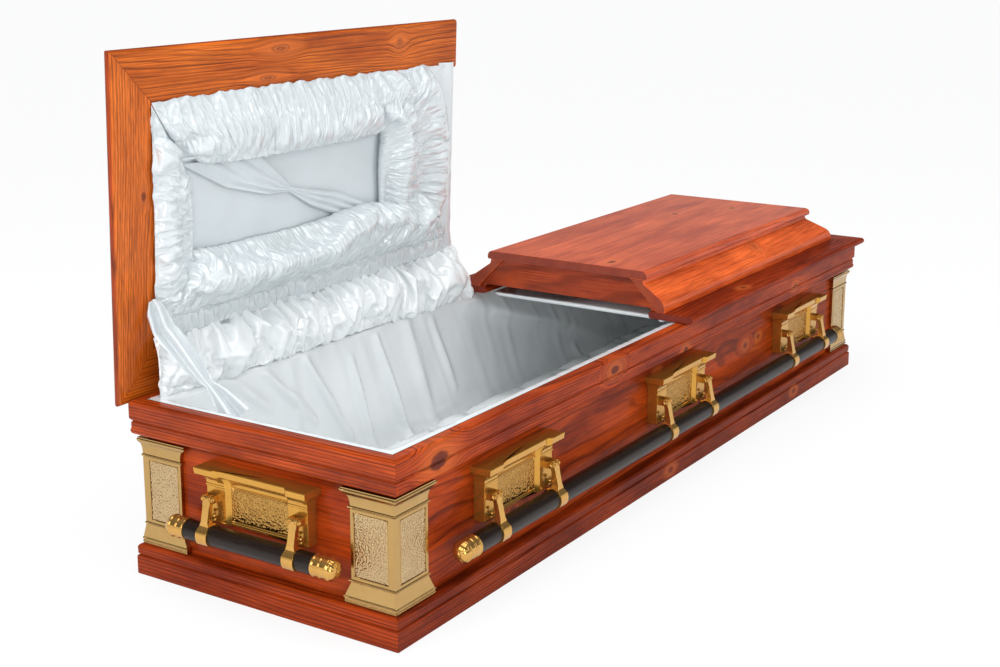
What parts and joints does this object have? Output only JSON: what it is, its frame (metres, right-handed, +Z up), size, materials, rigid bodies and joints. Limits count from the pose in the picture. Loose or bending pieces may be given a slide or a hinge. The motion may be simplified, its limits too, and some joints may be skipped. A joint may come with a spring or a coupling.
{
  "type": "half-couch wooden casket",
  "caption": "Half-couch wooden casket with moulded plinth and rim, two hinged lids, satin lining, cast corner pieces and swinging bar handles.",
  "frame": {"origin": "centre of the underside, on the floor", "axes": "+X from the head end to the foot end, +Y to the hinge side, +Z up"},
  "size_m": [2.131, 0.7429, 0.9633],
  "materials": {
    "stained_pine": "gloss lacquer over red-brown stain",
    "plain_pine": "stained, plain",
    "gilt_brass": "polished and lacquered, hammered fields",
    "black_bar": "satin black enamel on tube",
    "white_satin": "shirred satin"
  },
  "bodies": {
    "box": {"bottom_board": "plain_pine", "front_side_board": "stained_pine", "back_side_board": "stained_pine", "head_end_board": "stained_pine", "foot_end_board": "stained_pine", "front_plinth": "stained_pine", "back_plinth": "stained_pine", "head_plinth": "stained_pine", "foot_plinth": "stained_pine", "front_rim": "stained_pine", "back_rim": "stained_pine", "head_rim": "stained_pine", "foot_rim": "stained_pine", "head_front_corner": "gilt_brass", "head_back_corner": "gilt_brass", "foot_front_corner": "gilt_brass", "foot_back_corner": "gilt_brass", "front_ear_head": "gilt_brass", "front_ear_middle": "gilt_brass", "front_ear_foot": "gilt_brass", "back_ear_head": "gilt_brass", "back_ear_middle": "gilt_brass", "back_ear_foot": "gilt_brass", "head_ear": "gilt_brass", "foot_ear": "gilt_brass", "bed_pad": "white_satin", "wall_lining": "white_satin", "box_hinge_leaves": "gilt_brass"},
    "head_lid": {"head_lid_panel": "stained_pine", "head_lid_front_rail": "stained_pine", "head_lid_back_rail": "stained_pine", "head_lid_end_rail": "stained_pine", "head_lid_front_crown": "stained_pine", "head_lid_back_crown": "stained_pine", "head_lid_end_crown": "stained_pine", "head_lid_lining": "white_satin", "head_lid_hinge_leaves": "gilt_brass"},
    "foot_lid": {"foot_lid_panel": "stained_pine", "foot_lid_front_rail": "stained_pine", "foot_lid_back_rail": "stained_pine", "foot_lid_end_rail": "stained_pine", "foot_lid_front_crown": "stained_pine", "foot_lid_back_crown": "stained_pine", "foot_lid_end_crown": "stained_pine", "foot_lid_bridge": "stained_pine", "foot_lid_lining": "white_satin", "foot_lid_hinge_leaves": "gilt_brass", "foot_lid_bumper": "white_satin"},
    "front_handle": {"front_bar": "black_bar", "front_arms": "gilt_brass", "front_bar_tips": "gilt_brass"},
    "back_handle": {"back_bar": "black_bar", "back_arms": "gilt_brass", "back_bar_tips": "gilt_brass"},
    "head_handle": {"head_bar": "black_bar", "head_arms": "gilt_brass", "head_bar_tips": "gilt_brass"},
    "foot_handle": {"foot_bar": "black_bar", "foot_arms": "gilt_brass", "foot_bar_tips": "gilt_brass"}
  },
  "joints": [
    {"name": "head_lid_hinge", "type": "hinge", "parent": "box", "child": "head_lid", "pos_m": [0, 0.3057, 0.3388], "axis": [1, 0, 0], "range_deg": [0, 88]},
    {"name": "foot_lid_hinge", "type": "hinge", "parent": "box", "child": "foot_lid", "pos_m": [0, 0.3057, 0.3388], "axis": [-1, 0, 0], "range_deg": [0, 88]},
    {"name": "front_handle_swing", "type": "hinge", "parent": "box", "child": "front_handle", "pos_m": [0, -0.315, 0.193], "axis": [-1, 0, 0], "range_deg": [0, 90]},
    {"name": "back_handle_swing", "type": "hinge", "parent": "box", "child": "back_handle", "pos_m": [0, 0.315, 0.193], "axis": [1, 0, 0], "range_deg": [0, 90]},
    {"name": "head_handle_swing", "type": "hinge", "parent": "box", "child": "head_handle", "pos_m": [-1.04, 0, 0.193], "axis": [0, 1, 0], "range_deg": [0, 90]},
    {"name": "foot_handle_swing", "type": "hinge", "parent": "box", "child": "foot_handle", "pos_m": [1.04, 0, 0.193], "axis": [0, -1, 0], "range_deg": [0, 90]}
  ]
}
